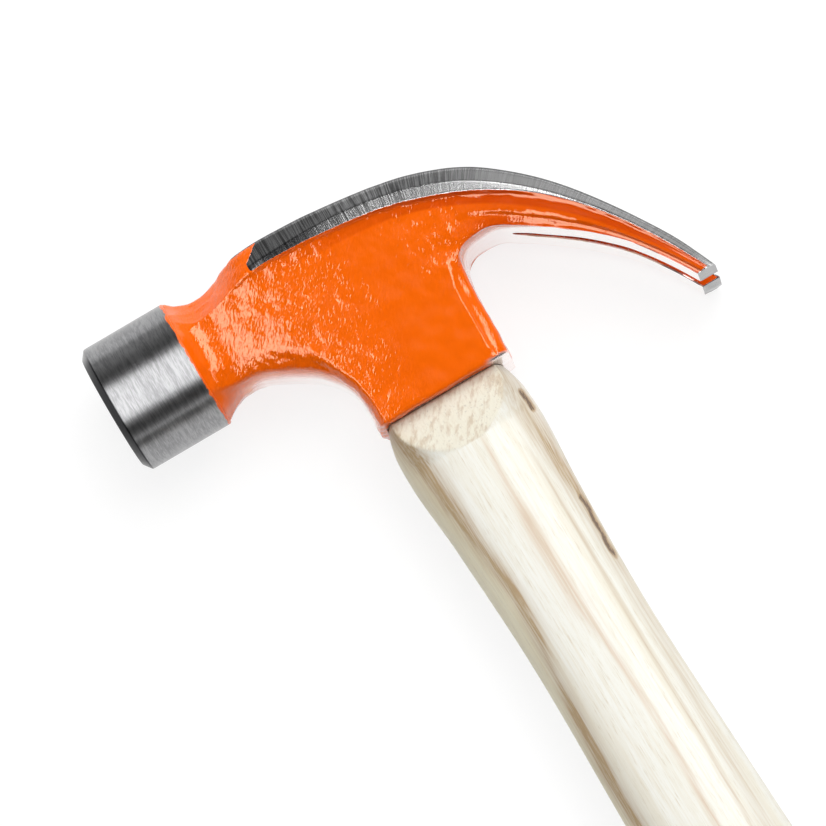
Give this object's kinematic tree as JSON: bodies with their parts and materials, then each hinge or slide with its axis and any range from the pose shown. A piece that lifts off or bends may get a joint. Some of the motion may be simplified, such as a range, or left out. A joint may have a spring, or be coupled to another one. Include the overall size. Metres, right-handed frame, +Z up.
{
  "type": "claw hammer",
  "caption": "Curved-claw hammer with a forged, painted head, bare ground poll and crown, and an oval wooden handle wedged into a drop eye.",
  "frame": {"origin": "centre of the bounding box in X and Y, at the level the hammer lies on, in Z", "axes": "+X from the striking face to the claws, +Y from the butt to the head's top, +Z up through the cheeks, as the hammer lies on its side"},
  "size_m": [0.1237, 0.33, 0.031],
  "materials": {
    "head_paint": "forged steel under glossy orange paint, with a bare ground poll and crown",
    "handle_wood": "pale straight-grained wood, thin clear lacquer",
    "wedge_wood": "bare sawn wood",
    "wedge_steel": "plain stamped steel"
  },
  "bodies": {
    "root": {"hammer_head": "head_paint", "handle": "handle_wood", "wooden_wedge": "wedge_wood", "steel_wedge_rear": "wedge_steel", "steel_wedge_front": "wedge_steel"}
  },
  "joints": []
}
